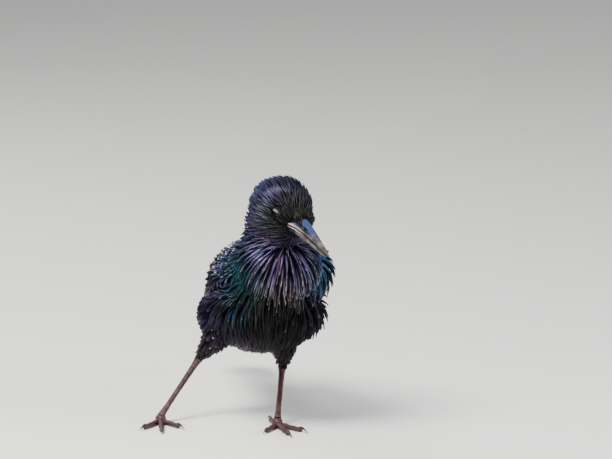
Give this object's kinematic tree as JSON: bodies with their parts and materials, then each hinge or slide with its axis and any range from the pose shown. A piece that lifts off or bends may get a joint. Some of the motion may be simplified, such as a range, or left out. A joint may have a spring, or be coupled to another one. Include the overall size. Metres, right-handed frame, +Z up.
{
  "type": "standing starling model",
  "caption": "Still, life-size starling standing hunched on its own feet, head turned and bill lowered, with a shaggy throat and folded wings, for show on a flat surface.",
  "frame": {"origin": "on the floor, under the middle of the model's box", "axes": "+Z up, -Y the way the bird's body faces, +X towards the bird's left"},
  "size_m": [0.0776, 0.1742, 0.1078],
  "materials": {
    "plumage": "glossy black plumage with blue and violet sheen",
    "throat": "violet-glossed lance-shaped throat plumes with paler tips",
    "wing": "brown-black flight feathers with buff edges",
    "bill": "satin horn, steel-blue at the base",
    "eye": "wet, very dark brown",
    "leg": "scaly reddish-brown skin",
    "claw": "satin dark horn"
  },
  "bodies": {
    "root": {"head": "plumage", "neck": "throat", "torso": "plumage", "bill_upper": "bill", "bill_lower": "bill", "eye_left": "eye", "eye_right": "eye", "wing_left": "wing", "wing_right": "wing", "tail": "wing", "thigh_left": "plumage", "thigh_right": "plumage", "shank_left": "leg", "shank_right": "leg", "foot_left": "leg", "foot_right": "leg", "claw_left_inner": "claw", "claw_left_middle": "claw", "claw_left_outer": "claw", "claw_left_hind": "claw", "claw_right_inner": "claw", "claw_right_middle": "claw", "claw_right_outer": "claw", "claw_right_hind": "claw"}
  },
  "joints": []
}
